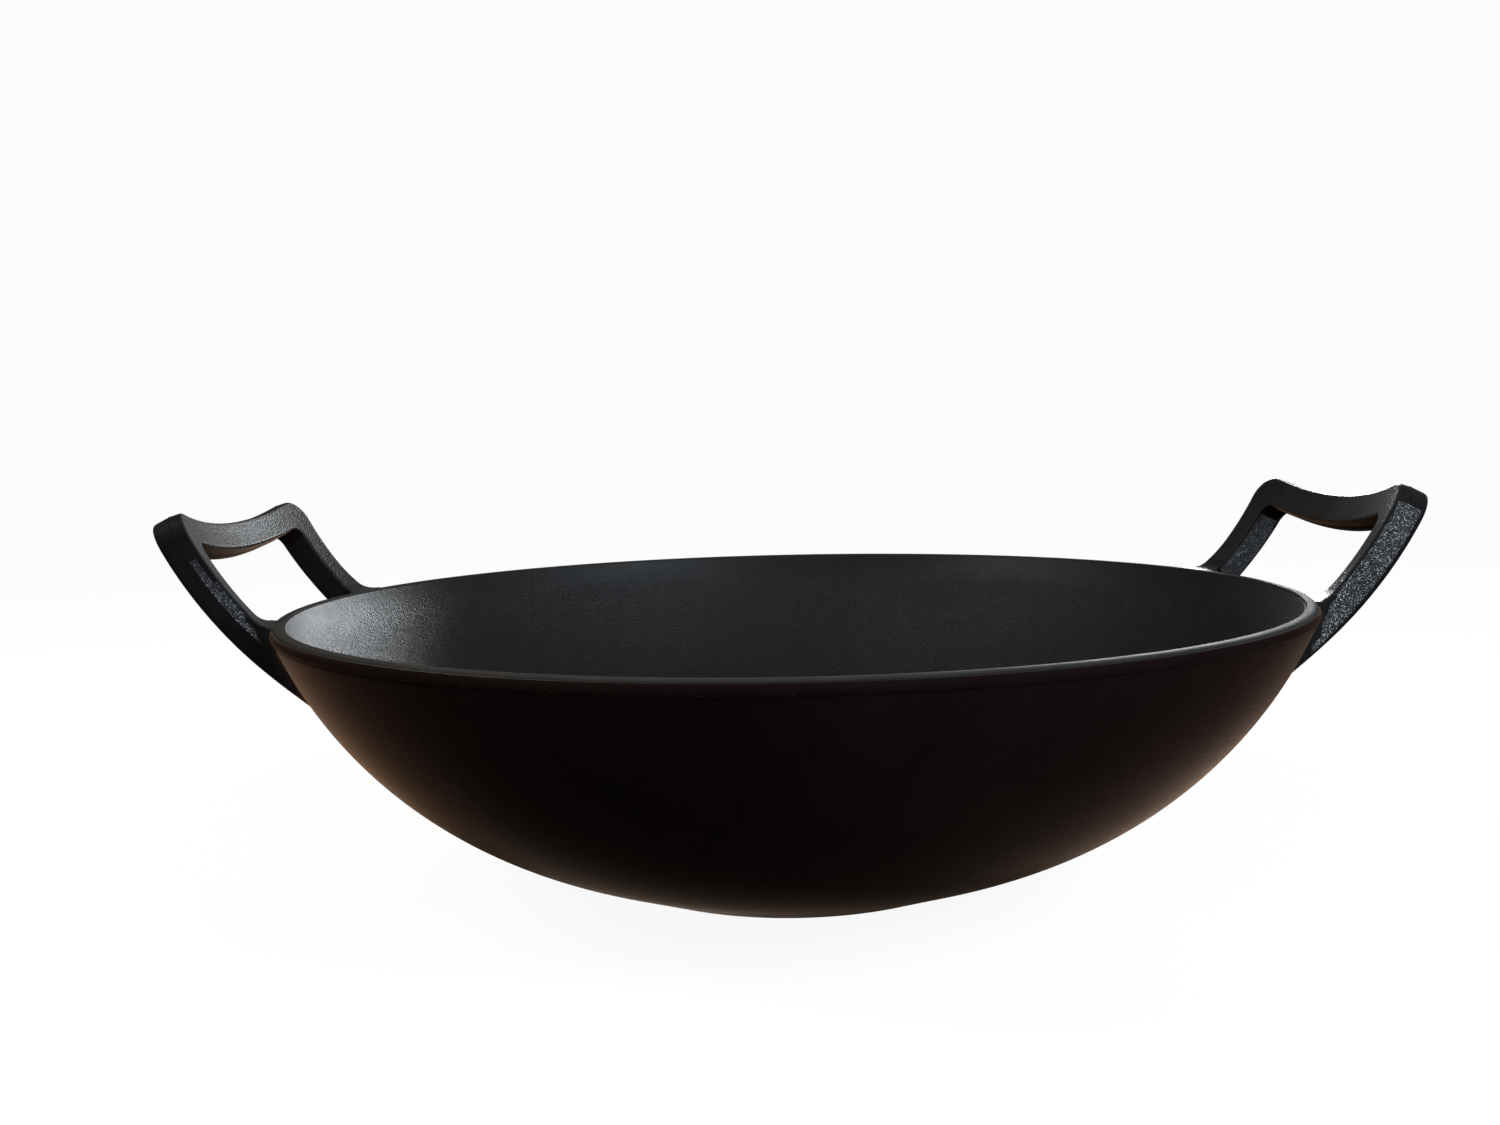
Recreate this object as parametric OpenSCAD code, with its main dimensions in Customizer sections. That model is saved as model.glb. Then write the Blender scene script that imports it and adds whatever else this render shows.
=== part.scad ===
// Round-bottomed cast iron wok with a flat foot and two cast loop handles.
// Origin: centre of the foot's underside. +Z up, handles along X.

/* [Bowl] */
// Diameter over the lip
rim_d = 356; // [330:1:400]
// Height of the lip's top above the table
bowl_h = 95; // [80:1:110]
// Diameter at which the flared wall starts above the foot
flare_d = 151; // [120:1:166]
// How much flatter the wall starts above the foot than the line from there to the lip, in degrees
flare_ease = 18; // [14:0.5:20]
// How much steeper the wall ends under the lip than that line, in degrees
wall_lift = 27.5; // [25:0.5:31]
// Thickness of the wall
wall_t = 5; // [3.5:0.1:6.5]
// Height of the inside floor above the table
floor_h = 6.5; // [5:0.1:8]
// Length that the blend between the inside floor and the wall takes up of each
floor_blend = 20.5; // [8:0.5:22]

/* [Foot] */
// How far the turned foot lies in from the start of the wall
foot_step = 2; // [1:0.5:10]
// Height of the foot
foot_h = 1; // [0.5:0.1:3]

/* [Lip] */
// Height of the ground band under the lip's top
lip_h = 3.6; // [3:0.1:6]
// How far the lip stands proud of the wall
lip_proud = 0.5; // [0.2:0.1:1.5]
// Radius of the lip's outer edge
lip_round = 2.7; // [1:0.1:2.9]
// Width of the small flat that eases the lip's inner edge
lip_ease = 0.6; // [0.3:0.1:1.2]

/* [Handles] */
// Width over the two legs of a handle
handle_w = 111; // [90:1:130]
// Width of one leg
leg_w = 10; // [7:0.5:16]
// Thickness of the cast strap
strap_t = 10.5; // [7:0.5:14]
// Radius of the strap's inner face, seen from the side
strap_r = 129.5; // [100:0.5:160]
// How much flatter than the wall the strap leaves the lip, in degrees
strap_ease = 21; // [16:0.5:26]
// Gap from the lip's outer edge to the strap's inner face, level with the lip
strap_gap = 3.1; // [2:0.1:5]
// How much steeper the handle leans as a whole than the strap does at the lip, in degrees
handle_lift = 11; // [6:0.5:16]
// Length of that slope from the lip to the lowest point of the grip's top edge
grip_reach = 39.6; // [32:0.1:50]
// Height of the grip bar along that slope, at its middle
grip_w = 11; // [8:0.1:15]
// Drop of the grip's top edge from its corners to its middle
grip_dip = 3.2; // [1:0.1:6]
// Drop of the window's top edge from its corners to its middle
window_dip = 2; // [1:0.1:5]
// Radius of the handle's outer corners
corner_r = 8; // [4:0.5:12]
// Radius of the window's corners
window_r = 4; // [2:0.5:8]

/* [Handle roots] */
// Radius of the blend between a leg's outer side and the wall
root_out_r = 8; // [4:0.5:12]
// Radius of the blend between a leg's inner side and the wall
root_in_r = 6; // [3:0.5:10]
// Radius of the saddle between the strap and the lip
saddle_r = 8; // [5:0.5:12]
// How far the saddle lies below the lip's top
saddle_drop = 0.3; // [0.2:0.1:1]

/* [Hidden] */
$fn = 180;
iron = [0.10, 0.10, 0.105];
ground_iron = [0.24, 0.24, 0.25];
// A small amount by which blends bite into what they join
bite = 0.1;
// One overrun that serves all cuts
over = 20;

// Bowl: an arc under the lip runs tangent into a straight flare above the foot
rim_r = rim_d / 2;
flare_r = flare_d / 2;
lip_low = bowl_h - lip_h;
wall_run = rim_r - lip_proud - flare_r;
wall_rise = lip_low - foot_h;
wall_slope = atan2(wall_rise, wall_run);
flare_angle = wall_slope - flare_ease;
wall_angle = wall_slope + wall_lift;
wall_r = norm([wall_run, wall_rise]) * sin(flare_ease) / (1 - cos(wall_angle - flare_angle));
arc_x = rim_r - lip_proud - wall_r * sin(wall_angle);
arc_z = lip_low + wall_r * cos(wall_angle);

// Inside: the same arc and flare, one wall thickness in
in_r = wall_r - wall_t;
flare_in_x = arc_x + in_r * sin(flare_angle);
flare_in_z = arc_z - in_r * cos(flare_angle);
floor_corner_x = flare_in_x - (flare_in_z - floor_h) / tan(flare_angle);
floor_blend_r = floor_blend / tan(flare_angle / 2);
floor_end_x = floor_corner_x - floor_blend;

// Strap: a ring seen from the side, about a centre above the wok
strap_angle = wall_angle - strap_ease;
handle_lean = strap_angle + handle_lift;
strap_x = rim_r + strap_gap - strap_r * sin(strap_angle);
strap_z = bowl_h + strap_r * cos(strap_angle);
saddle_top = bowl_h - saddle_drop;
saddle_z = saddle_top + saddle_r;
saddle_x = strap_x + sqrt(pow(strap_r - saddle_r + bite, 2) - pow(strap_z - saddle_z, 2));

// Loop outline, in the handle's own leaning plane
loop_half = handle_w / 2;
window_half = loop_half - leg_w;
leg_mid = loop_half - leg_w / 2;

// Radius of the wall's outer face at height z
function wall_radius(z) = arc_x + sqrt(pow(wall_r, 2) - pow(arc_z - z, 2));
// Distance from the YZ plane of a point of a circle, at a distance y from the XZ plane
function chord_x(radius, y) = sqrt(pow(radius, 2) - pow(y, 2));
// Radius of an arc from its half span and its rise
function sag_radius(half_span, rise) = (pow(half_span, 2) + pow(rise, 2)) / (2 * rise);

// Where the strap's underside meets the wall: the crossing of their two arcs
strap_out_r = strap_r + strap_t;
arcs_apart = norm([strap_x - arc_x, strap_z - arc_z]);
along = (pow(wall_r, 2) - pow(strap_out_r, 2) + pow(arcs_apart, 2)) / (2 * arcs_apart);
across = sqrt(pow(wall_r, 2) - pow(along, 2));
root_z = arc_z + (along * (strap_z - arc_z) - across * (strap_x - arc_x)) / arcs_apart;
sweep = 2 * asin((loop_half + 2 * root_out_r) / wall_radius(root_z));

// Line that the blends at the roots run along, down the wall beside a leg
root_x = chord_x(wall_radius(lip_low), leg_mid);
root_low_x = chord_x(wall_radius(root_z), leg_mid);
root_lean = atan2(lip_low - root_z, root_x - root_low_x);

// Half section of the wall filled to the axis, up to the lip
module wall_fill() {
    flare_x = arc_x + wall_r * sin(flare_angle);
    flare_z = arc_z - wall_r * cos(flare_angle);
    polygon([
        [0, foot_h],
        [flare_r, foot_h],
        [flare_x, flare_z],
        [flare_x, lip_low],
        [0, lip_low],
    ]);
    intersection() {
        translate([arc_x, arc_z]) circle(r = wall_r);
        translate([flare_x, flare_z]) square([rim_r - flare_x, lip_low - flare_z]);
    }
}

// Half section of the lip filled to the axis, with its rounded outer edge
module lip_fill() {
    translate([0, lip_low]) square([rim_r, lip_h - lip_round]);
    translate([0, lip_low]) square([rim_r - lip_round, lip_h]);
    intersection() {
        translate([rim_r - lip_round, bowl_h - lip_round]) circle(r = lip_round);
        translate([0, bowl_h - lip_round]) square([rim_r, lip_round]);
    }
}

// Half section of the space inside the bowl
module cavity() {
    blend_end = [
        floor_corner_x + floor_blend * cos(flare_angle),
        floor_h + floor_blend * sin(flare_angle),
    ];
    polygon([
        [0, floor_h],
        [floor_end_x, floor_h],
        blend_end,
        [flare_in_x, flare_in_z],
        [flare_in_x, bowl_h + over],
        [0, bowl_h + over],
    ]);
    intersection() {
        translate([floor_end_x, floor_h + floor_blend_r]) circle(r = floor_blend_r);
        polygon([[floor_end_x, floor_h], [floor_corner_x, floor_h], blend_end]);
    }
    intersection() {
        translate([arc_x, arc_z]) circle(r = in_r);
        translate([flare_in_x, flare_in_z]) square([rim_r, bowl_h - flare_in_z]);
    }
}

// Half section of the flat that eases the lip's inner edge
module lip_ease_cut() {
    lip_in_x = arc_x + sqrt(pow(in_r, 2) - pow(arc_z - bowl_h, 2));
    polygon([
        [0, bowl_h - 2 * lip_ease],
        [lip_in_x - lip_ease, bowl_h - 2 * lip_ease],
        [lip_in_x + lip_ease, bowl_h],
        [0, bowl_h],
    ]);
}

module bowl() {
    color(iron)
    rotate_extrude()
    difference() {
        wall_fill();
        cavity();
    }
}

module rim() {
    color(ground_iron)
    rotate_extrude()
    difference() {
        lip_fill();
        cavity();
        lip_ease_cut();
    }
}

module foot() {
    color(iron)
    cylinder(h = foot_h, r = flare_r - foot_step);
}

// Half section of the strap and its saddle, cut back to the wall and the lip
module strap_section() {
    difference() {
        union() {
            intersection() {
                difference() {
                    translate([strap_x, strap_z]) circle(r = strap_out_r);
                    translate([strap_x, strap_z]) circle(r = strap_r);
                }
                translate([flare_r, root_z - over]) square([rim_r, bowl_h + grip_reach]);
            }
            translate([saddle_x - saddle_r, saddle_top - saddle_r]) square([saddle_r, saddle_r]);
            difference() {
                translate([saddle_x, saddle_top - saddle_r]) square([saddle_r * sin(strap_angle), 2 * saddle_r]);
                translate([saddle_x, saddle_z]) circle(r = saddle_r);
                translate([saddle_x, saddle_z - saddle_r * cos(strap_angle)]) square(2 * saddle_r);
            }
        }
        wall_fill();
        lip_fill();
    }
}

// Outline of a loop: straight sides and a top edge that dips between rounded corners
module loop_outline(half, top, dip, radius) {
    corner_y = half - radius;
    sag_r = sag_radius(corner_y, dip);
    corner_z = top + sag_r - sqrt(pow(sag_r + radius, 2) - pow(corner_y, 2));
    touch_y = corner_y * sag_r / (sag_r + radius);
    translate([-half, -over - bowl_h]) square([2 * half, corner_z + over + bowl_h]);
    for (side = [-1, 1]) translate([side * corner_y, corner_z]) circle(r = radius);
    difference() {
        translate([-touch_y, 0]) square([2 * touch_y, top + dip]);
        translate([0, top + sag_r]) circle(r = sag_r);
    }
}

// Blend between a leg's side and the wall, as a section across the wall
module root_blend(side_y, out, radius) {
    wall_x = chord_x(wall_radius(lip_low), side_y);
    fall = atan(side_y / wall_x * sin(root_lean));
    wall_q = (wall_x - root_x) * sin(root_lean);
    centre_y = side_y + out * (radius - bite);
    centre_q = wall_q + radius * (1 - out * sin(fall)) / cos(fall) - bite;
    touch_y = centre_y - radius * sin(fall);
    difference() {
        translate([min(leg_mid, touch_y), -over]) square([abs(touch_y - leg_mid), centre_q + over]);
        translate([centre_y, centre_q]) circle(r = radius);
    }
}

// The strap: its half section swept across the handle's width
module strap() {
    rotate([0, 0, -sweep / 2]) rotate_extrude(angle = sweep) strap_section();
}

// The loop's outline and window, swept square to the leaning plane
module loop_prism() {
    translate([rim_r, 0, bowl_h]) rotate([0, 180 - handle_lean, 0]) rotate([0, 0, 90])
        linear_extrude(height = 2 * bowl_h, center = true)
        difference() {
            loop_outline(loop_half, grip_reach, grip_dip, corner_r);
            loop_outline(window_half, grip_reach - grip_w, window_dip, window_r);
        }
}

// The four root blends, swept down the wall beside the legs
module root_blends() {
    translate([root_x, 0, lip_low]) rotate([0, 270 - root_lean, 0]) rotate([0, 0, 90])
        linear_extrude(height = bowl_h, center = true)
        for (side = [0, 1]) mirror([side, 0]) {
            root_blend(loop_half, 1, root_out_r);
            root_blend(window_half, -1, root_in_r);
        }
}

// One handle on the +X side
module handle() {
    color(iron) {
        intersection() {
            strap();
            loop_prism();
        }
        intersection() {
            strap();
            root_blends();
        }
    }
}

module handle_right() {
    handle();
}

module handle_left() {
    rotate([0, 0, 180]) handle();
}

bowl();
rim();
foot();
handle_left();
handle_right();
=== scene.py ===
"""Cast iron wok with a ground lip, a turned foot and two cast loop handles.

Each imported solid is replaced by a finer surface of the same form, with the soft edges,
the blends and the cast grain of the real casting.
Shapes are worked out in millimetres and put into the meshes in metres. Angles are radians.
"""

import math
from types import SimpleNamespace

import bpy
import numpy as np
from mathutils import Matrix, Vector


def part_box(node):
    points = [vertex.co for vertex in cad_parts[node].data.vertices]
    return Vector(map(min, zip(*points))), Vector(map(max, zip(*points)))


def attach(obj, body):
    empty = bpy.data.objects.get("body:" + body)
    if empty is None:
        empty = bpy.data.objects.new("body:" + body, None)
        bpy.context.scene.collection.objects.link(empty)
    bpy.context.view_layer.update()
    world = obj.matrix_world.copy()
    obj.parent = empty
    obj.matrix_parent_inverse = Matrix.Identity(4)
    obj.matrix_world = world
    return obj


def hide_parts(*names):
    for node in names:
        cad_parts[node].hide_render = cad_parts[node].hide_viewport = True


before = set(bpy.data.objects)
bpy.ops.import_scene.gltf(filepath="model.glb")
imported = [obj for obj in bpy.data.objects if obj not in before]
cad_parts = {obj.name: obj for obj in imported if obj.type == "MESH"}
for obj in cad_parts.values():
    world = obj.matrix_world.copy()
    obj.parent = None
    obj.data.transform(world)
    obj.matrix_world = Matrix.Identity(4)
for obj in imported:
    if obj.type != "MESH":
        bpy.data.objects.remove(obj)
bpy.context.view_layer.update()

MM = 0.001
TINY = 1e-6  # distance under which two points count as one
QUARTER_TURN = math.pi / 2


def high_corner(node):
    """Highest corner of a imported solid, in millimetres."""
    return np.array(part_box(node)[1]) / MM


# Sizes read from the frame
FOOT_R, _, FOOT_H = high_corner("foot")
WALL_TOP_R, _, LIP_LOW = high_corner("bowl")
RIM_R, _, RIM_TOP = high_corner("rim")

# Foot
FOOT_EASE = 0.3

# Bowl
BASE_R = 75.5  # where the flared wall starts above the foot
FLARE_EASE = math.radians(18)  # how much flatter the flare is than the line from foot to lip
WALL_LIFT = math.radians(27.5)  # how much steeper the wall is under the lip than that line
WALL_T = 5
FLOOR_H = 6.5
FLOOR_BLEND = 20.5
BASE_EDGE_R = 1.2

# Lip
LIP_ROUND = 2.7
LIP_EASE = 0.7
LIP_STEP_R = 0.35
LIP_GROUND = 0.9  # how far down its outer face the lip is ground

# Handles: the strap and the loop that is cut from it
STRAP_T = 10.5
STRAP_R = 129.5
STRAP_EASE = math.radians(21)  # how much flatter the strap starts than the wall ends
STRAP_GAP = 3.1  # how far outside the lip the strap starts
LOOP_HALF = 55.5
WINDOW_HALF = 45.5
GRIP_TOP = 37.7  # way up the strap from the lip to the outer edge of the grip's middle
GRIP_W = 11
GRIP_DIP = 6.2
WINDOW_DIP = 4.7
CORNER_R = 8
WINDOW_R = 4

# Handles: the section of the strap
PART_SHARE = 0.4  # share of the strap's thickness at the parting line
PART_BEAD = 0.1
SIDE_LEAN = math.tan(math.radians(5))
FRONT_EDGE_R = 0.9
BACK_OUT_R = 1.6  # back edge along the loop's outline
BACK_IN_R = 4.5  # back edge along the window

# Handles: the root
ROOT_OUT_R = 8
ROOT_IN_R = 6
SADDLE_R = 8
SADDLE_DROP = 0.3
ROOT_REACH = 33  # length of the strap below the lip
ROOT_DEPTH = 2  # how far the handle runs on inside the wall

# Handles: where their skin is the wall's own, pebbled or smooth
WALL_SKIN = 1.5  # distance from the wall up to which a handle has the wall's skin
SKIN_START = 3.2  # distance from the wall where the pebbled skin starts
SKIN_FADE = 2.5  # way along which it grows to its full strength
SKIN_TURN = 0.3  # how far the outline has turned in where the pebbled skin starts to run out
SKIN_LOW_SHARE = 0.3  # share of the loop's height up to which the skin is at its most pebbled
LINE_SHARE = 0.01  # share of the thickness past the parting line where a point counts as behind it
PEBBLE_EDGES = (2.1, 2.6)  # depths from the front and from the back within which the pebbles thin out
SMOOTH_BELOW = 0.12  # share of pebbles under which the skin counts as smooth
FRONT_SHARE = 0.9  # share of the front edge's radius that has the smooth border
BACK_SHARE = 0.84  # share of the thickness where the smooth border of the back starts

# How pebbled a handle is on the whole, the share that is lost behind the parting line and high up in front
# of it, the share on the window sides, and how fast the pebbles thin out towards the grip. These are partly
# painted light: the right handle gets more pale specks than its mirror twin on the left, as painted light
# from the right, and the loss behind the parting line is painted shade on the side that leans away.
RIGHT_SKIN = {"pebbles": 1, "lost": 0.25, "in_window": 0.3, "sparser": 0.55}
LEFT_SKIN = {"pebbles": 0.5, "lost": 1, "in_window": 0.1, "sparser": 1.2}

# Steps of the surfaces
BODY_TURNS = 384
LIP_TURNS = 512
WALL_STEPS = 64
SHORT_STEPS = 4
EDGE_STEPS = 6
FLAT_STEPS = 8
FLOOR_STEPS = 10
ROUND_STEPS = 14
UNDERSIDE_STEPS = 24
FOOT_EDGE_STEPS = 5
FOOT_SIDE_STEPS = 3
ROOT_ROWS = 28
LEG_ROWS = 36
CORNER_ROWS = 20
GRIP_ROWS = 40
BEND_STEPS = 9
FACE_STEPS = 10
SIDE_STEPS = (-0.2, -0.12, -0.05, -0.018, 0, 0.018, 0.05, 0.1, 0.35)  # shares of the thickness off the line

# Painted shade on the lip's ground face and finish of the inside, as distances below the top
LIP_PAINTED_SHADE = (0.9, 0.25)  # painted shade down the ground face's outer round: where it is darkest, and where it ends, at the palest
INSIDE_ROUGH = (14, 4)  # where the inside's grain starts to fade, and where it has faded

# Studio floor: its size in millimetres, its colour and the white that only shows, over distances in metres
FLOOR_HALF = 9000
FLOOR_DROP = 0.1  # how far the floor lies under the foot, so that no two faces coincide
FLOOR_TONE = 0.07
FLOOR_LIFT = 0.93
SHADE_REACH = (0.15, 0.55)  # where the shade on the floor that the iron mirrors starts to fade, and ends
SHADE_LEVEL = 0.1  # level of the mirrored floor in that shade
FADE = (0.35, 1.6)  # where the floor starts to turn into the air's white, and where it has

# Studio air: its light and its look, and how it dims
AIR_LIGHT = 0.3
AIR_SEEN = 0.97
DIM_SIDE = 0.22  # level of the air on the left, beside its level on the right
DIM_TURN = 0.35  # how far to the left and right of straight ahead it changes, as the direction's x
DIM_ABOVE = 0.45  # level of the air overhead, beside its level near the horizon
DIM_RISE = (0.3, 0.75)  # between which heights it changes, as the direction's z

LIT_POINT = (0, 0, 0.06)  # what the lamps face, in metres

# Camera: fitted to the lip and the handles' corners in the photograph, in metres
CAMERA_PLACE = (-0.01548, -0.4525, 0.14514)
CAMERA_PITCH = math.radians(-4.888)
CAMERA_ROLL = math.radians(-1.4)
CAMERA_YAW = math.radians(-0.227)
SENSOR_MM = 36
LENS_MM = 29.754

# Wall curve: an arc under the lip runs tangent into a straight flare above the foot
wall_run = WALL_TOP_R - BASE_R
wall_rise = LIP_LOW - FOOT_H
wall_slope = math.atan2(wall_rise, wall_run)
flare_angle = wall_slope - FLARE_EASE
wall_angle = wall_slope + WALL_LIFT
WALL_R = math.hypot(wall_run, wall_rise) * math.sin(FLARE_EASE) / (1 - math.cos(wall_angle - flare_angle))
ARC_X = WALL_TOP_R - WALL_R * math.sin(wall_angle)
ARC_Z = LIP_LOW + WALL_R * math.cos(wall_angle)

# Strap: a ring seen from the side, about a centre above the wok
strap_angle = wall_angle - STRAP_EASE
STRAP_X = RIM_R + STRAP_GAP - STRAP_R * math.sin(strap_angle)
STRAP_Z = RIM_TOP + STRAP_R * math.cos(strap_angle)


def along(start, end, count):
    """Points from start to end at even steps: a straight run."""
    t = np.linspace(0, 1, count)[:, None]
    return np.array(start) * (1 - t) + np.array(end) * t


def arc(centre, radius, start, end, count):
    """Points of a circle's arc: centre + radius (cos a, sin a), a from start to end."""
    a = np.linspace(start, end, count)
    return np.array(centre) + radius * np.stack([np.cos(a), np.sin(a)], axis=1)


def joined(*runs):
    """One run of points from several, with the doubled joints left out."""
    points = np.concatenate(runs)
    step = np.linalg.norm(np.diff(points, axis=0), axis=1)
    return points[np.concatenate([[True], step > TINY])]


def add_mesh(name, points, faces, finish=None, masks=None, sharp_above=math.radians(35)):
    """Puts points, in millimetres, and faces into a new object at the origin, smooth except at sharp folds.

    Finish is the number of each face's material. Masks are values for each point.
    """
    mesh = bpy.data.meshes.new(name)
    mesh.from_pydata((points * MM).tolist(), [], faces)
    for key, values in (masks or {}).items():
        mesh.attributes.new(key, "FLOAT", "POINT").data.foreach_set("value", values.astype(np.float32))
    if finish is not None:
        mesh.polygons.foreach_set("material_index", finish.astype(np.int32))
    mesh.shade_smooth()
    mesh.set_sharp_from_angle(angle=sharp_above)
    piece = bpy.data.objects.new(name, mesh)
    bpy.context.scene.collection.objects.link(piece)
    return piece


def grid_quads(rows, columns, close_rows=False):
    """Quads between neighbours of a grid kept row by row, whose columns close on themselves."""
    i = np.arange(rows if close_rows else rows - 1)[:, None]
    j = np.arange(columns)[None, :]
    k, m = (i + 1) % rows, (j + 1) % columns
    quads = np.stack([i * columns + j, k * columns + j, k * columns + m, i * columns + m], axis=-1)
    return quads.reshape(-1, 4)


def end_fans(rows, columns):
    """Triangles that close a grid's first and last row, round the two points that are kept after the grid."""
    j = np.arange(columns)
    k = (j + 1) % columns
    first, last = np.full(columns, rows * columns), np.full(columns, rows * columns + 1)
    top = (rows - 1) * columns
    return [np.stack([first, j, k], axis=1), np.stack([last, top + k, top + j], axis=1)]


def outward(points, faces):
    """The faces in the order that makes the enclosed volume positive, so that they look out."""
    volume = 0.0
    for shape in faces:
        a = points[shape[:, 0]]
        for n in range(1, shape.shape[1] - 1):
            b, c = points[shape[:, n]], points[shape[:, n + 1]]
            volume += np.einsum("ij,ij->", a, np.cross(b, c))
    ordered = faces if volume > 0 else [shape[:, ::-1] for shape in faces]
    return [face for shape in ordered for face in shape.tolist()]


def turned(name, profile, finish_of=None, turns=BODY_TURNS, ring=False):
    """Surface of revolution: (r, z) of the profile goes to (r cos a, r sin a, z).

    An open profile starts and ends on the axis, where all its turns share one point. A ring's profile is
    closed. finish_of gives the material's number for each edge of the profile.
    """
    a = np.linspace(0, 2 * math.pi, turns, endpoint=False)
    body = profile if ring else profile[1:-1]
    r, z = body[:, :1], body[:, 1:]
    points = np.stack([r * np.cos(a), r * np.sin(a), z + 0 * a], axis=-1).reshape(-1, 3)
    faces = [grid_quads(len(body), turns, close_rows=ring)]
    if not ring:
        points = np.concatenate([points, [[0, 0, profile[0, 1]], [0, 0, profile[-1, 1]]]])
        faces += end_fans(len(body), turns)
    finish = None
    if finish_of is not None:
        in_face_order = finish_of if ring else np.concatenate([finish_of[1:-1], finish_of[[0, -1]]])
        finish = np.repeat(in_face_order, turns)
    return add_mesh(name, points, outward(points, faces), finish)


def wall_radius(z, inset):
    """Radius, at height z, of the arc that lies an inset inside the wall's arc."""
    return ARC_X + np.sqrt((WALL_R - inset) ** 2 - (ARC_Z - z) ** 2)


def arc_end(inset):
    """Where the arc that lies an inset inside the wall's arc runs into its flare."""
    r = WALL_R - inset
    return np.array([ARC_X + r * math.sin(flare_angle), ARC_Z - r * math.cos(flare_angle)])


def inside_arc():
    """The inside face from the lip down to its flare: points of the inset arc."""
    start = math.asin((LIP_LOW - ARC_Z) / (WALL_R - WALL_T))
    return arc((ARC_X, ARC_Z), WALL_R - WALL_T, start, flare_angle - QUARTER_TURN, WALL_STEPS)


def make_bowl():
    """The wall and floor, turned: up the outside to the lip, across the wall and down the inside."""
    flare_turn = flare_angle - QUARTER_TURN
    edge_centre = (BASE_R - BASE_EDGE_R * math.tan(flare_angle / 2), FOOT_H + BASE_EDGE_R)
    base_edge = arc(edge_centre, BASE_EDGE_R, -QUARTER_TURN, flare_turn, EDGE_STEPS)
    inner = arc_end(WALL_T)
    floor_corner_x = inner[0] - (inner[1] - FLOOR_H) / math.tan(flare_angle)
    blend_r = FLOOR_BLEND / math.tan(flare_angle / 2)
    blend_centre = (floor_corner_x - FLOOR_BLEND, FLOOR_H + blend_r)
    floor_blend = arc(blend_centre, blend_r, flare_turn, -QUARTER_TURN, ROUND_STEPS)
    outside = joined(
        along((0, FOOT_H), base_edge[0], FLAT_STEPS),
        base_edge,
        along(base_edge[-1], arc_end(0), FLAT_STEPS),
        arc((ARC_X, ARC_Z), WALL_R, flare_turn, wall_angle - QUARTER_TURN, WALL_STEPS),
    )
    inside = joined(
        inside_arc(),
        along(inner, floor_blend[0], SHORT_STEPS),
        floor_blend,
        along(floor_blend[-1], (0, FLOOR_H), FLOOR_STEPS),
    )
    profile = np.concatenate([outside, inside])
    is_inside = np.arange(len(profile) - 1) >= len(outside) - 1
    return turned("wok_bowl", profile, is_inside)


def make_lip():
    """The lip, turned: its outer face with a rounded top edge, the flat top, and the eased inner edge.

    It is ground on top and over its edges. Its outer and inner faces keep the skin of the wall.
    """
    inner_top = wall_radius(RIM_TOP, WALL_T)
    inner_low = wall_radius(LIP_LOW, WALL_T)
    step_r, round_r = RIM_R - LIP_STEP_R, RIM_R - LIP_ROUND
    ease_r, ease_z = inner_top + LIP_EASE, RIM_TOP - LIP_EASE
    profile = joined(
        along((inner_low, LIP_LOW), (step_r, LIP_LOW), EDGE_STEPS),
        arc((step_r, LIP_LOW + LIP_STEP_R), LIP_STEP_R, -QUARTER_TURN, 0, SHORT_STEPS),
        arc((round_r, RIM_TOP - LIP_ROUND), LIP_ROUND, 0, QUARTER_TURN, ROUND_STEPS),
        along((round_r, RIM_TOP), (ease_r, RIM_TOP), SHORT_STEPS),
        arc((ease_r, ease_z), LIP_EASE, QUARTER_TURN, math.pi, EDGE_STEPS),
        along((wall_radius(ease_z, WALL_T), ease_z), (inner_low, LIP_LOW), SHORT_STEPS)[:-1],
    )
    r, z = ((profile + np.roll(profile, -1, axis=0)) / 2).T
    outer_skin = (z < RIM_TOP - LIP_GROUND) & (r > wall_radius(LIP_LOW, WALL_T / 2))
    inner_skin = (z < ease_z) & ~outer_skin
    return turned("wok_lip", profile, outer_skin + 2 * inner_skin, LIP_TURNS, ring=True)


def make_foot():
    """The turned foot: a low disc with an eased lower edge."""
    flat_r = FOOT_R - FOOT_EASE
    profile = joined(
        along((0, 0), (flat_r, 0), UNDERSIDE_STEPS),
        arc((flat_r, FOOT_EASE), FOOT_EASE, -QUARTER_TURN, 0, FOOT_EDGE_STEPS),
        along((FOOT_R, FOOT_EASE), (FOOT_R, FOOT_H), FOOT_SIDE_STEPS),
        along((FOOT_R, FOOT_H), (0, FOOT_H), EDGE_STEPS),
    )
    return turned("wok_foot", profile)


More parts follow.
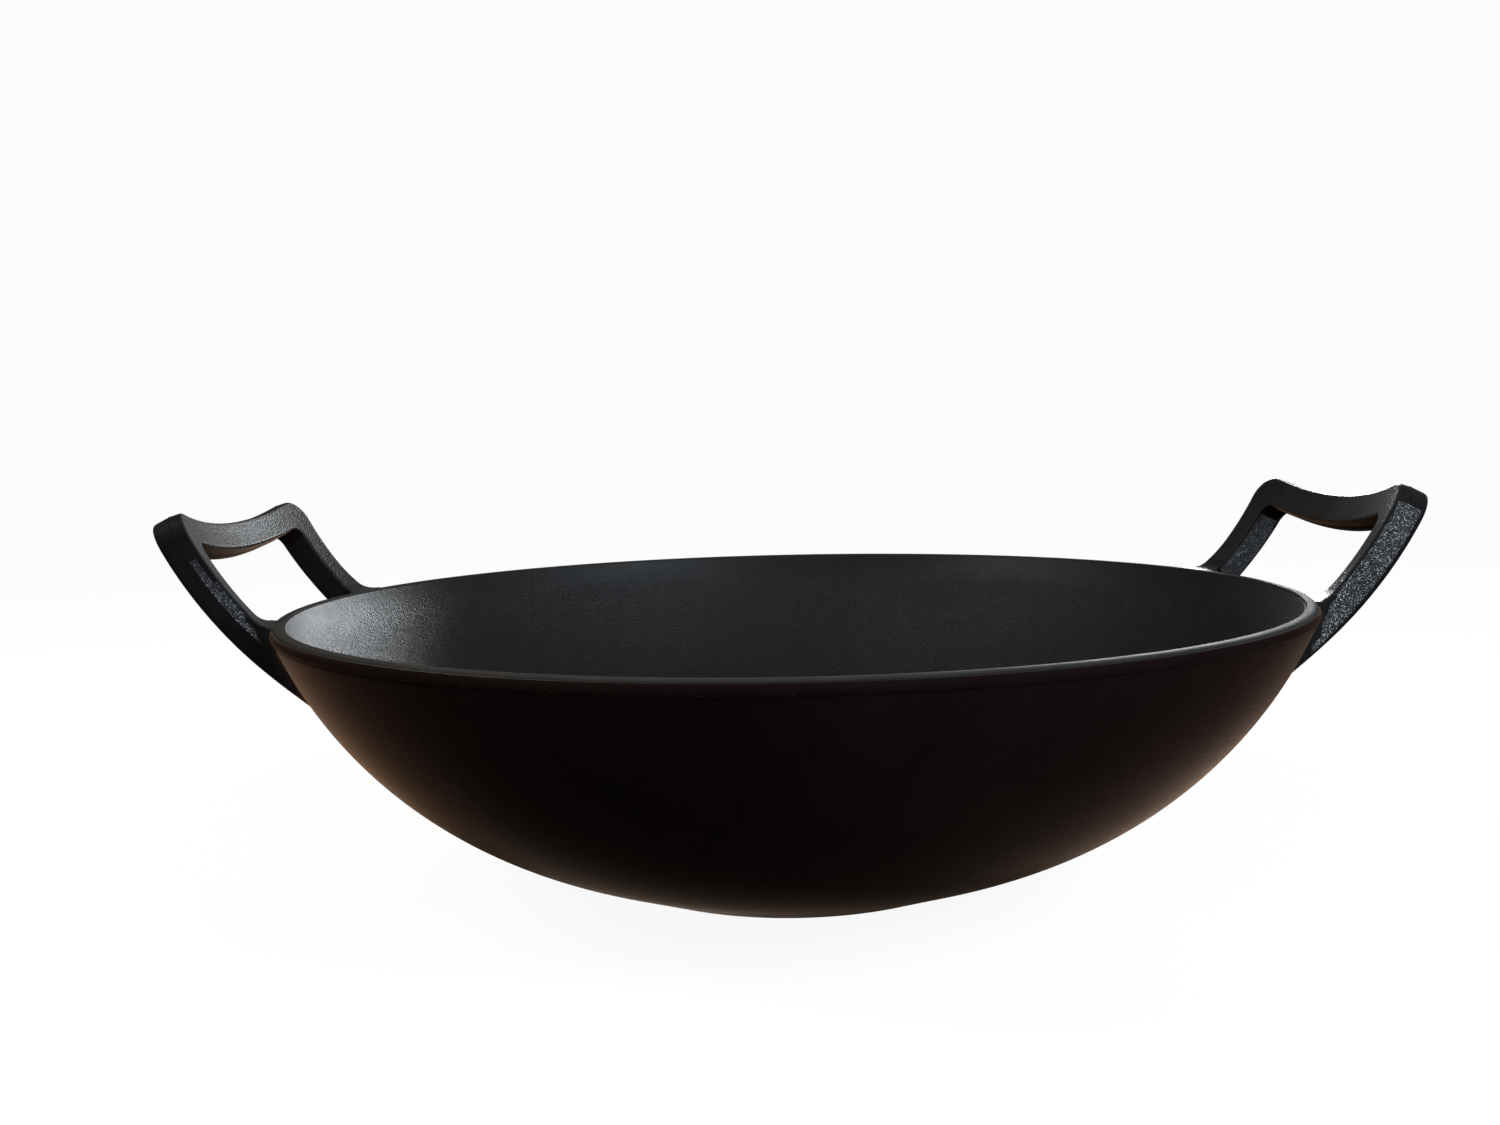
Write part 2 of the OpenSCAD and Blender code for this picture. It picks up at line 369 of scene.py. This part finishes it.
def root_edges():
    """Front and back of the rows below the strap's start, as (r, z), and the s at which they start.

    The front is an arc onto the saddle that runs level into the lip, in even steps. The back goes down the
    strap's outer arc into the wall.
    """
    saddle_top = RIM_TOP - SADDLE_DROP
    centre_z = saddle_top + SADDLE_R
    centre_x = STRAP_X + math.sqrt((STRAP_R - SADDLE_R) ** 2 - (STRAP_Z - centre_z) ** 2)
    touch_angle = math.atan2(centre_x - STRAP_X, STRAP_Z - centre_z)
    saddle = joined(
        arc((centre_x, centre_z), SADDLE_R, touch_angle - QUARTER_TURN, -QUARTER_TURN, ROOT_ROWS),
        along((centre_x, saddle_top), (RIM_R - LIP_ROUND - ROOT_DEPTH / 2, saddle_top), ROOT_ROWS),
    )
    reach = np.concatenate([[0], np.cumsum(np.linalg.norm(np.diff(saddle, axis=0), axis=1))])
    step = np.linspace(0, 1, ROOT_ROWS)
    front = np.stack([np.interp(step * reach[-1], reach, saddle[:, n]) for n in (0, 1)], axis=1)
    low_angle = strap_angle - ROOT_REACH / STRAP_R
    angle = touch_angle + (low_angle - touch_angle) * step
    outer_r = STRAP_R + STRAP_T
    back = np.stack([STRAP_X + outer_r * np.sin(angle), STRAP_Z - outer_r * np.cos(angle)], axis=1)
    return front, back, STRAP_R * (touch_angle - strap_angle)


def loop_edge(start, half, top, dip, radius):
    """Half of a loop's outline as (y, s): the root's rows, up the leg, round the corner and along the dip.

    s is the way up the strap's inner face from the lip. The corner is a circle that touches the leg's side
    and the dip's own circle, which hangs down in the middle. All the root's rows have the start's s.
    """
    corner_y = half - radius
    sag_r = (corner_y**2 + dip**2) / (2 * dip)
    corner_s = top + sag_r - math.sqrt((sag_r + radius) ** 2 - corner_y**2)
    turn = math.atan2(top + sag_r - corner_s, -corner_y)
    root = np.tile([half, start], (ROOT_ROWS - 1, 1))
    leg = along((half, start), (half, corner_s), LEG_ROWS)
    corner = arc((corner_y, corner_s), radius, 0, turn, CORNER_ROWS)
    sag = arc((0, top + sag_r), sag_r, turn - math.pi, -QUARTER_TURN, GRIP_ROWS)
    return np.concatenate([root, leg, corner[1:], sag[1:]])


def strap_section(width, thick):
    """Closed section of the strap: flat in front with tight edges, and rounded behind, most along the window.

    Gives across, from the window's edge to the outer edge, and deep, from the front face to the back. Both
    sides lean in by a slope times the distance from the parting line, where the mould's two halves met.
    """
    turns = (
        (width - FRONT_EDGE_R, FRONT_EDGE_R, FRONT_EDGE_R, -QUARTER_TURN),
        (width - BACK_OUT_R, thick - BACK_OUT_R, BACK_OUT_R, 0),
        (BACK_IN_R, thick - BACK_IN_R, BACK_IN_R, QUARTER_TURN),
        (FRONT_EDGE_R, FRONT_EDGE_R, FRONT_EDGE_R, 2 * QUARTER_TURN),
    )
    bends = []
    for centre_across, centre_deep, radius, start in turns:
        a = np.linspace(start, start + QUARTER_TURN, BEND_STEPS)
        bend_across = centre_across + radius * np.cos(a) + 0 * width
        bend_deep = centre_deep + radius * np.sin(a) + 0 * thick
        bends.append((bend_across, bend_deep))
    even = np.linspace(0, 1, FACE_STEPS)[1:-1]
    near_line = PART_SHARE + np.array(SIDE_STEPS)
    across, deep = [], []
    for n, (bend_across, bend_deep) in enumerate(bends):
        last_across, last_deep = bends[n - 1]
        if n % 2:
            run_deep = (near_line if n == 1 else near_line[::-1]) * thick
            run_across = last_across[:, -1:] + 0 * run_deep
        else:
            run_deep = last_deep[:, -1:] * (1 - even) + bend_deep[:, :1] * even
            run_across = last_across[:, -1:] * (1 - even) + bend_across[:, :1] * even
        across += [run_across, bend_across]
        deep += [run_deep, bend_deep]
    across, deep = np.concatenate(across, axis=1), np.concatenate(deep, axis=1)
    off_line = np.abs(deep - PART_SHARE * thick)
    lean = np.minimum(SIDE_LEAN * off_line, SIDE_LEAN * STRAP_T / 2) - PART_BEAD * (off_line < TINY)
    return across - lean * (2 * across / width - 1), deep


def wall_blend(radius, from_wall):
    """How far a handle's side has spread at a distance q from the wall: r - sqrt(r^2 - (r - q)^2)."""
    q = np.clip(from_wall, 0, radius)
    return radius - np.sqrt(radius**2 - (radius - q) ** 2)


def half_handle():
    """Half of a handle, from inside the wall up one leg, round the corner and on to the middle of the grip.

    A row of its grid is a section. Its front and back points lie on the strap's two arcs, seen from the side,
    (STRAP_X + q sin a, STRAP_Z - q cos a) with q from STRAP_R to STRAP_R + STRAP_T, and in the root's rows on
    the root's edges. Turned about the wok's axis, (r, y) goes to x = sqrt(r^2 - y^2).
    """
    front, back, touch_s = root_edges()
    front, back = front[:0:-1], back[:0:-1]
    outer = loop_edge(touch_s, LOOP_HALF, GRIP_TOP, GRIP_DIP, CORNER_R)
    inner = loop_edge(touch_s, WINDOW_HALF, GRIP_TOP - GRIP_W, WINDOW_DIP, WINDOW_R)
    is_root = np.arange(len(outer)) < ROOT_ROWS - 1

    wide = np.hypot(*(outer - inner).T)[:, None]
    thick = np.full_like(wide, STRAP_T)
    thick[is_root, 0] = np.linalg.norm(front - back, axis=1)
    across, deep = strap_section(wide, thick)
    share, depth_share = across / wide, deep / thick

    y = inner[:, :1] * (1 - share) + outer[:, :1] * share
    s = inner[:, 1:] * (1 - share) + outer[:, 1:] * share
    angle = strap_angle + s / STRAP_R
    q = STRAP_R + STRAP_T * depth_share
    r, z = STRAP_X + q * np.sin(angle), STRAP_Z - q * np.cos(angle)
    in_root = depth_share[is_root]
    r[is_root] = front[:, :1] * (1 - in_root) + back[:, :1] * in_root
    z[is_root] = front[:, 1:] * (1 - in_root) + back[:, 1:] * in_root

    # Inside the wall the rows stop at one depth, and beside it the sides spread into their blends
    from_wall = np.hypot(r - ARC_X, z - ARC_Z) - WALL_R
    sunk = (from_wall < -ROOT_DEPTH) & (z < RIM_TOP - LIP_ROUND)
    scale = np.where(sunk, (WALL_R - ROOT_DEPTH) / (WALL_R + from_wall), 1)
    r, z = ARC_X + (r - ARC_X) * scale, ARC_Z + (z - ARC_Z) * scale
    y = y - wall_blend(ROOT_IN_R, from_wall) * (1 - share) + wall_blend(ROOT_OUT_R, from_wall) * share

    return SimpleNamespace(
        points=np.stack([np.sqrt(r**2 - y**2), y, z], axis=-1),
        share=share,
        deep=deep,
        thick=thick,
        from_wall=from_wall,
        outer_s=outer[:, 1:],
        on_leg=np.clip(2 - (LOOP_HALF - outer[:, :1]) / SKIN_TURN, 0, 1),
    )


def pebbled_skin(half, skin):
    """How pebbled a handle is at each point, partly as painted light: most on the legs' outer sides, not at
    the root or corner.
    """
    off_root = np.clip((half.from_wall - SKIN_START) / SKIN_FADE, 0, 1)
    side = np.maximum(half.share, skin["in_window"])
    behind_line = half.deep / half.thick > PART_SHARE + LINE_SHARE
    low_down = np.clip(1 + SKIN_LOW_SHARE - half.outer_s / GRIP_TOP, 0, 1)
    # behind the parting line the pale pebbles thin out, which is painted shade on the side that leans away
    uneven = 1 - skin["lost"] + skin["lost"] * low_down * ~behind_line
    off_front, off_back = half.deep / PEBBLE_EDGES[0], (half.thick - half.deep) / PEBBLE_EDGES[1]
    thinned = np.clip(off_front, 0, 1) * np.clip(off_back, 0, 1)
    # the right handle's larger share paints it lighter than the left: painted light from the right
    sparser = skin["pebbles"] * (1 - skin["sparser"] * (1 - low_down))
    return half.on_leg * off_root * side * uneven * thinned * sparser


def finish_of_faces(half, pebbled):
    """Numbers of the materials of a half handle's faces.

    0 is pebbled, 1 is the front plate, 2 is the wall's skin, which is also on the back and round the window's
    top, and 3 is smooth and drawn darker, partly as painted shade.
    """
    low_deep = np.minimum(half.deep[1:], half.deep[:-1])
    high_deep = np.maximum(half.deep[1:], half.deep[:-1])
    thick = half.thick[1:]
    is_plate = high_deep < FRONT_EDGE_R / 2
    meets_wall = (half.from_wall[1:] < WALL_SKIN) & (low_deep > FRONT_EDGE_R)
    in_window = (half.share[1:] < 0.5) & (half.on_leg[1:] < 1)
    is_back = ~is_plate & ((low_deep > thick - BACK_OUT_R / 2) | in_window | meets_wall)
    is_border = (high_deep < FRONT_EDGE_R * FRONT_SHARE) | (low_deep > thick * BACK_SHARE)
    is_smooth = ~is_plate & ~is_back & ((pebbled[1:] < SMOOTH_BELOW) | is_border)
    return is_plate + 2 * is_back + 3 * is_smooth


def make_handle(name, side, skin):
    """One loop handle: a half and its mirror image, closed at both roots. Side is 1 or -1, right or left."""
    half = half_handle()
    pebbled = pebbled_skin(half, skin)
    finish = finish_of_faces(half, pebbled)
    mirrored = half.points[::-1][1:] * np.array([1, -1, 1])
    grid = np.concatenate([half.points, mirrored])
    rows, columns = grid.shape[:2]
    ends = grid[[0, -1]].mean(axis=1)
    points = np.concatenate([grid.reshape(-1, 3), ends]) * np.array([side, side, 1])
    faces = outward(points, [grid_quads(rows, columns), *end_fans(rows, columns)])
    finish = np.concatenate([finish.ravel(), finish[::-1].ravel(), np.zeros(2 * columns)])
    mask = np.concatenate([pebbled.ravel(), pebbled[::-1][1:].ravel(), [0, 0]])
    return add_mesh(name, points, faces, finish, {"pebbled": mask})


class Graph:
    """A short way to write a node tree: add() makes a node, sets its inputs and gives it back."""

    def __init__(self, tree):
        self.tree = tree

    def add(self, kind, inputs=None, **settings):
        node = self.tree.nodes.new(kind)
        for key, value in settings.items():
            setattr(node, key, value)
        self.feed(node, inputs or {})
        return node

    def feed(self, node, inputs):
        """Links outputs to a node's inputs, and sets plain values on them."""
        for key, value in inputs.items():
            if isinstance(value, bpy.types.NodeSocket):
                self.tree.links.new(value, node.inputs[key])
            else:
                node.inputs[key].default_value = value

    def place(self, group, inputs):
        """A group with its own values."""
        return self.add("ShaderNodeGroup", inputs, node_tree=group).outputs

    def math(self, operation, *values):
        return self.add("ShaderNodeMath", dict(enumerate(values)), operation=operation).outputs[0]

    def mix(self, factor, a, b):
        """A blend from colour a to colour b, each given as RGB or as an output."""
        a, b = ((*colour, 1) if isinstance(colour, tuple) else colour for colour in (a, b))
        return self.add("ShaderNodeMix", {0: factor, 6: a, 7: b}, data_type="RGBA").outputs[2]

    def spread(self, value, low, high, to_low, to_high):
        """A value's range from low to high, laid out over another range and held at its ends."""
        limits = {"From Min": low, "From Max": high, "To Min": to_low, "To Max": to_high}
        return self.add("ShaderNodeMapRange", {"Value": value, **limits}).outputs["Result"]

    def noise(self, place, scale, detail, distortion=0.0):
        """The value of a noise texture."""
        inputs = {"Vector": place, "Scale": scale, "Detail": detail, "Distortion": distortion}
        return self.add("ShaderNodeTexNoise", inputs).outputs[0]

    def parts(self, vector):
        """The x, y and z of a vector."""
        return self.add("ShaderNodeSeparateXYZ", {0: vector}).outputs

    def bump(self, height, depth, normal=None):
        """The normal of a height of 0 to 1 over a depth in metres, on top of another normal."""
        inputs = {"Height": height, "Distance": depth, "Strength": 1.0}
        if normal is not None:
            inputs["Normal"] = normal
        return self.add("ShaderNodeBump", inputs).outputs["Normal"]


def new_group(name, inputs, outputs):
    """An empty shader group with the named inputs, as (kind, default), and outputs, as kind."""
    tree = bpy.data.node_groups.new(name, "ShaderNodeTree")
    for key, (kind, default) in inputs.items():
        socket = tree.interface.new_socket(key, in_out="INPUT", socket_type=kind)
        if default is not None:
            socket.default_value = default
    for key, kind in outputs.items():
        tree.interface.new_socket(key, in_out="OUTPUT", socket_type=kind)
    graph = Graph(tree)
    return tree, graph, graph.add("NodeGroupInput").outputs, graph.add("NodeGroupOutput")


def cast_grain_group():
    """Height of a sand-cast skin, 0 to 1: rounded pebbles of one size over softer, larger swells.

    Specks are the tops of the pebbles, each with a strength of its own, falling with the distance from its
    middle.
    """
    inputs = {
        "Place": ("NodeSocketVector", None),
        "Pebble mm": ("NodeSocketFloat", 1.0),
        "Swell": ("NodeSocketFloat", 0.4),
    }
    outputs = {"Height": "NodeSocketFloat", "Specks": "NodeSocketFloat"}
    tree, g, given, out = new_group("cast_grain", inputs, outputs)
    place = given["Place"]
    per_metre = g.math("DIVIDE", 1 / MM, given["Pebble mm"])
    pebble = {"Vector": place, "Scale": per_metre}
    pebbles = g.add("ShaderNodeTexVoronoi", {**pebble, "Smoothness": 0.6}, feature="SMOOTH_F1").outputs
    rounded = g.math("SUBTRACT", 1.0, g.math("POWER", pebbles["Distance"], 1.5))
    swells = g.noise(place, g.math("MULTIPLY", per_metre, 0.35), 3.0)
    grit = g.noise(place, g.math("MULTIPLY", per_metre, 1.9), 2.0)
    fine = g.math("ADD", g.math("MULTIPLY", rounded, 0.6), g.math("MULTIPLY", grit, 0.4))
    height = g.add("ShaderNodeMix", {0: given["Swell"], 2: fine, 3: swells}, data_type="FLOAT").outputs[0]
    cells = g.add("ShaderNodeTexVoronoi", pebble, feature="F1").outputs
    chance = g.math("POWER", g.add("ShaderNodeSeparateColor", {0: cells["Color"]}).outputs[0], 1.9)
    top = g.spread(cells["Distance"], 0.0, 0.6, 1.4, 0.0)
    g.feed(out, {"Height": height, "Specks": g.math("MULTIPLY", top, chance)})
    return tree


def seasoning_group():
    """Slow change of tone of a baked oil coat, 0 to 1: clouds a few centimetres wide with finer mottling."""
    inputs = {"Place": ("NodeSocketVector", None), "Cloud mm": ("NodeSocketFloat", 45.0)}
    tree, g, given, out = new_group("seasoning", inputs, {"Tone": "NodeSocketFloat"})
    per_metre = g.math("DIVIDE", 1 / MM, given["Cloud mm"])
    clouds = g.noise(given["Place"], per_metre, 4.0, 0.6)
    mottle = g.noise(given["Place"], g.math("MULTIPLY", per_metre, 9.0), 3.0)
    tone = g.math("ADD", g.math("MULTIPLY", clouds, 0.7), g.math("MULTIPLY", mottle, 0.3))
    g.feed(out, {"Tone": g.spread(tone, 0.32, 0.68, 0.0, 1.0)})
    return tree


GRAIN = cast_grain_group()
SEASONING = seasoning_group()


class Material(Graph):
    """A material's graph, with plain values set on its Principled shader, and the place on the piece."""

    def __init__(self, name, plain):
        self.material = bpy.data.materials.new(name)
        self.material.use_nodes = True
        super().__init__(self.material.node_tree)
        self.shader = self.tree.nodes["Principled BSDF"]
        self.feed(self.shader, plain)
        self.here = self.add("ShaderNodeTexCoord").outputs["Object"]


class Iron(Material):
    """Cast iron, with the tone of its seasoning and the grain of its skin, both sized in millimetres."""

    def __init__(self, name, cloud, pebble, swell, plain):
        super().__init__(name, plain)
        self.tone = self.place(SEASONING, {"Place": self.here, "Cloud mm": cloud})["Tone"]
        self.grain = self.place(GRAIN, {"Place": self.here, "Pebble mm": pebble, "Swell": swell})

    def by_tone(self, low, high):
        """A value that goes from low to high with the seasoning's tone."""
        return self.spread(self.tone, 0.0, 1.0, low, high)

    def finished(self, base, rough, normal):
        """The material, with what changes over the surface fed to its shader."""
        self.feed(self.shader, {"Base Color": base, "Roughness": rough, "Normal": normal})
        return self.material


def outside_iron():
    """Outside of the bowl: matt near-black skin with a fine grain, which glows brown at grazing angles.

    It is a little darker on the lip's outer face, which is painted shade.
    """
    plain = {
        "Specular IOR Level": 0.0001,
        "Sheen Weight": 0.31,
        "Sheen Roughness": 0.24,
        "Sheen Tint": (0.9, 0.59, 0.41, 1),
    }
    g = Iron("outside_iron", 60.0, 0.9, 0.2, plain)
    # painted shade: the skin is drawn darker above the top of the wall, on the lip's outer face
    lip_painted_shade = g.spread(g.parts(g.here)[2], LIP_LOW * MM, (LIP_LOW + LIP_STEP_R) * MM, 0.0, 0.35)
    skin = g.mix(g.tone, (0.0062, 0.0034, 0.0034), (0.0100, 0.0058, 0.0054))
    base = g.mix(lip_painted_shade, skin, (0.0028, 0.0017, 0.0017))
    return g.finished(base, g.by_tone(0.66, 0.56), g.bump(g.grain["Height"], 0.00011))


def inside_iron():
    """Inside of the bowl: charcoal skin with a soft gloss, broken up by a grain that fades under the lip."""
    plain = {"Specular IOR Level": 0.095, "Specular Tint": (0.89, 0.945, 1.0, 1)}
    g = Iron("inside_iron", 70.0, 0.85, 0.15, plain)
    starts, faded = [(RIM_TOP - below) * MM for below in INSIDE_ROUGH]
    least = 0.3
    grained = g.spread(g.parts(g.here)[2], starts, faded, 1.0, least)
    base = g.mix(g.tone, (0.0045, 0.0046, 0.0047), (0.0075, 0.0076, 0.0077))
    rough = g.math("ADD", g.by_tone(0.36, 0.29), g.spread(grained, least, 1.0, 0.12, 0.0))
    return g.finished(base, rough, g.bump(g.math("MULTIPLY", g.grain["Height"], grained), 0.0006))


def ground_lip_iron():
    """Ground band of the lip: greyer iron with fine marks that run round it, seasoned over, darkened down its
    outer round by painted shade.
    """
    g = Iron("ground_lip_iron", 25.0, 0.9, 0.3, {"Specular IOR Level": 0.004})
    x, y, z = g.parts(g.here)
    squares = g.math("ADD", g.math("MULTIPLY", x, x), g.math("MULTIPLY", y, y))
    across = g.math("MULTIPLY", g.math("POWER", squares, 0.5), 3000.0)
    round_lip = g.math("MULTIPLY", g.math("ARCTAN2", y, x), 14.0)
    up = g.math("MULTIPLY", z, 3000.0)
    marks = g.noise(g.add("ShaderNodeCombineXYZ", {0: across, 1: round_lip, 2: up}).outputs[0], 1.0, 3.0)
    worn = g.math("MULTIPLY", g.math("ADD", g.tone, marks), 0.5)
    ground = g.mix(worn, (0.0145, 0.0142, 0.0132), (0.033, 0.033, 0.0308))
    starts, palest = [(RIM_TOP - below) * MM for below in LIP_PAINTED_SHADE]
    # painted shade: the ground face darkens to near-black down its outer round
    base = g.mix(g.spread(z, starts, palest, 0.0, 1.0), (0.004, 0.0028, 0.0025), ground)
    normal = g.bump(marks, 0.00003, g.bump(g.grain["Height"], 0.00008))
    return g.finished(base, g.spread(marks, 0.3, 0.7, 0.42, 0.56), normal)


def turned_foot_iron():
    """Turned underside of the foot: rings of the lathe tool under a thin black coat."""
    g = Iron("turned_foot_iron", 30.0, 0.8, 0.3, {"Specular IOR Level": 0.08})
    wave = {"Vector": g.here, "Scale": 260.0, "Distortion": 0.6, "Detail": 2.0, "Detail Scale": 2.0}
    rings = g.add("ShaderNodeTexWave", wave, wave_type="RINGS", rings_direction="Z").outputs["Fac"]
    base = g.mix(g.tone, (0.012, 0.011, 0.0105), (0.022, 0.020, 0.019))
    normal = g.bump(rings, 0.00006, g.bump(g.grain["Height"], 0.00005))
    return g.finished(base, g.spread(rings, 0.0, 1.0, 0.36, 0.5), normal)


def cast_handle_iron():
    """Sides of a handle: a pebbled skin with paler bluish tops, partly wear and partly painted glints, which
    runs out to a smoother, darker one.
    """
    g = Iron("cast_handle_iron", 18.0, 0.48, 0.15, {"Specular IOR Level": 0.09})
    pebbled = g.add("ShaderNodeAttribute", attribute_name="pebbled").outputs["Fac"]
    skin = g.mix(g.tone, (0.008, 0.0083, 0.0094), (0.014, 0.0147, 0.0165))
    strength = g.math("MULTIPLY", pebbled, g.by_tone(0.5, 1.4))
    # painted glints, partly wear: the pebbles' tops are drawn pale bluish
    base = g.mix(g.math("MULTIPLY", g.grain["Specks"], strength), skin, (0.74, 0.83, 0.93))
    rough = g.spread(g.grain["Height"], 0.3, 0.7, 0.44, 0.28)
    height = g.math("MULTIPLY", g.grain["Height"], g.spread(pebbled, 0.0, 1.0, 0.25, 1.0))
    return g.finished(base, rough, g.bump(height, 0.0006))


def smooth_shaded_handle_iron():
    """Root and corners of a handle, where the ground pattern left the sand smooth: matt, and drawn dark,
    partly as painted shade.
    """
    g = Iron("smooth_shaded_handle_iron", 18.0, 0.8, 0.4, {"Specular IOR Level": 0.010})
    # partly painted shade: darker than the pebbled sides, as the roots, corners and edges lie in shade
    base = g.mix(g.tone, (0.0045, 0.0045, 0.0049), (0.0085, 0.0086, 0.0093))
    return g.finished(base, g.by_tone(0.56, 0.46), g.bump(g.grain["Height"], 0.00012))


def handle_plate_iron():
    """Flat front of a handle: a finer, greyer skin than that of its sides."""
    g = Iron("handle_plate_iron", 18.0, 0.8, 0.3, {"Specular IOR Level": 0.024})
    base = g.mix(g.tone, (0.009, 0.0092, 0.0097), (0.015, 0.0153, 0.016))
    rough = g.spread(g.grain["Height"], 0.3, 0.7, 0.36, 0.26)
    return g.finished(base, rough, g.bump(g.grain["Height"], 0.0002))


def dress(piece, materials, node):
    """Gives a piece its materials and body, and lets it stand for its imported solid."""
    for material in materials:
        piece.data.materials.append(material)
    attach(piece, "root")
    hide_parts(node)


wall_finish = [outside_iron(), inside_iron()]
handle_finish = [cast_handle_iron(), handle_plate_iron(), wall_finish[0], smooth_shaded_handle_iron()]
dress(make_bowl(), wall_finish, "bowl")
dress(make_lip(), [ground_lip_iron(), *wall_finish], "rim")
dress(make_foot(), [turned_foot_iron()], "foot")
dress(make_handle("wok_handle_right", 1, RIGHT_SKIN), handle_finish, "handle_right")
dress(make_handle("wok_handle_left", -1, LEFT_SKIN), handle_finish, "handle_left")


def seen(graph):
    """1 for rays that show a thing, straight or by a mirror or glass, and 0 for those that light it."""
    path = graph.add("ShaderNodeLightPath").outputs
    shown = graph.math("MAXIMUM", path["Is Camera Ray"], path["Is Glossy Ray"])
    return graph.math("MAXIMUM", shown, path["Is Transmission Ray"])


def studio_paper():
    """Pale paper whose white only shows. Far out it turns into the air's white, and it is mirrored shaded."""
    g = Material("studio_paper", {"Roughness": 1.0, "Specular IOR Level": 0.0})
    distance = g.add("ShaderNodeVectorMath", {0: g.here}, operation="LENGTH").outputs["Value"]
    far = g.spread(distance, *FADE, 0.0, 1.0)
    g.feed(g.shader, {"Base Color": g.mix(far, (FLOOR_TONE, FLOOR_TONE, FLOOR_TONE), (0, 0, 0))})
    shaded = g.spread(distance, *SHADE_REACH, SHADE_LEVEL, 1.0)
    mirrored = g.add("ShaderNodeLightPath").outputs["Is Glossy Ray"]
    white = g.spread(far, 0.0, 1.0, FLOOR_LIFT, AIR_SEEN)
    lift = g.math("MULTIPLY", white, g.spread(mirrored, 0.0, 1.0, 1.0, shaded))
    glow = g.add("ShaderNodeEmission", {"Color": (1, 1, 1, 1), "Strength": g.math("MULTIPLY", seen(g), lift)})
    both = g.add("ShaderNodeAddShader", {0: g.shader.outputs[0], 1: glow.outputs[0]})
    g.feed(g.tree.nodes["Material Output"], {"Surface": both.outputs[0]})
    return g.material


def make_floor():
    """Pale floor that keeps the wok's shadow."""
    corners = np.array([(-1, -1), (1, -1), (1, 1), (-1, 1)]) * FLOOR_HALF
    points = np.column_stack([corners, np.full(4, -FLOOR_DROP)])
    floor = add_mesh("studio_floor", points, [(0, 1, 2, 3)])
    floor.data.materials.append(studio_paper())


def make_air():
    """Pale air all round, which lights the wok less from the left and from above."""
    world = bpy.data.worlds.new("studio_air")
    world.use_nodes = True
    g = Graph(world.node_tree)
    x, _, z = g.parts(g.add("ShaderNodeTexCoord").outputs["Generated"])
    side = g.spread(x, -DIM_TURN, DIM_TURN, DIM_SIDE, 1.0)
    above = g.spread(z, *DIM_RISE, 1.0, DIM_ABOVE)
    straight = g.add("ShaderNodeLightPath").outputs["Is Camera Ray"]
    dimming = g.spread(straight, 0.0, 1.0, g.math("MULTIPLY", side, above), 1.0)
    level = g.math("MULTIPLY", g.spread(seen(g), 0.0, 1.0, AIR_LIGHT, AIR_SEEN), dimming)
    g.feed(world.node_tree.nodes["Background"], {"Color": (1, 1, 1, 1), "Strength": level})
    bpy.context.scene.world = world


def add_light(name, place, size, power, colour=(1, 1, 1)):
    """A soft box at a place, facing the wok. Places and sizes are in metres, and power is in watts."""
    light = bpy.data.lights.new(name, "AREA")
    light.shape = "RECTANGLE"
    light.size, light.size_y = size
    light.energy = power
    light.color = colour
    lamp = bpy.data.objects.new(name, light)
    lamp.location = place
    facing = lamp.location - Vector(LIT_POINT)
    lamp.rotation_euler = facing.to_track_quat("Z", "Y").to_euler()
    lamp.visible_camera = False
    bpy.context.scene.collection.objects.link(lamp)


def make_lights():
    """A far window behind on the right, cool fills in front, and warm light from high on the left."""
    add_light("window_behind", (1.95, 4.65, 1.3), (1.3, 1.3), 198, (0.93, 0.97, 1.0))
    add_light("front_fill", (1.1, -0.95, 1.1), (0.6, 0.6), 31, (0.88, 0.94, 1.0))
    add_light("low_glint", (1.3, -1.5, 0.1), (0.3, 0.3), 14, (0.82, 0.92, 1.0))
    add_light("room_in_front", (-0.2, -1.35, 1.3), (1.8, 0.8), 6)
    add_light("high_left", (-1.5, -0.3, 1.5), (0.8, 0.8), 28, (1.0, 0.91, 0.82))
    add_light("warm_side", (-1.5, -0.1, 1.0), (0.8, 0.5), 9, (1.0, 0.8, 0.62))


def make_camera():
    """Camera at the photograph's place and angle. Its turn is from level, looking along +Y."""
    lens = bpy.data.cameras.new("camera")
    lens.sensor_width = SENSOR_MM
    lens.lens = LENS_MM
    camera = bpy.data.objects.new("camera", lens)
    bpy.context.scene.collection.objects.link(camera)
    camera.location = CAMERA_PLACE
    yaw = Matrix.Rotation(CAMERA_YAW, 3, "Z")
    pitch = Matrix.Rotation(QUARTER_TURN + CAMERA_PITCH, 3, "X")
    roll = Matrix.Rotation(CAMERA_ROLL, 3, "Z")
    camera.rotation_euler = (yaw @ pitch @ roll).to_euler()
    bpy.context.scene.camera = camera


make_floor()
make_air()
make_lights()
make_camera()
bpy.context.scene.view_settings.view_transform = "Standard"
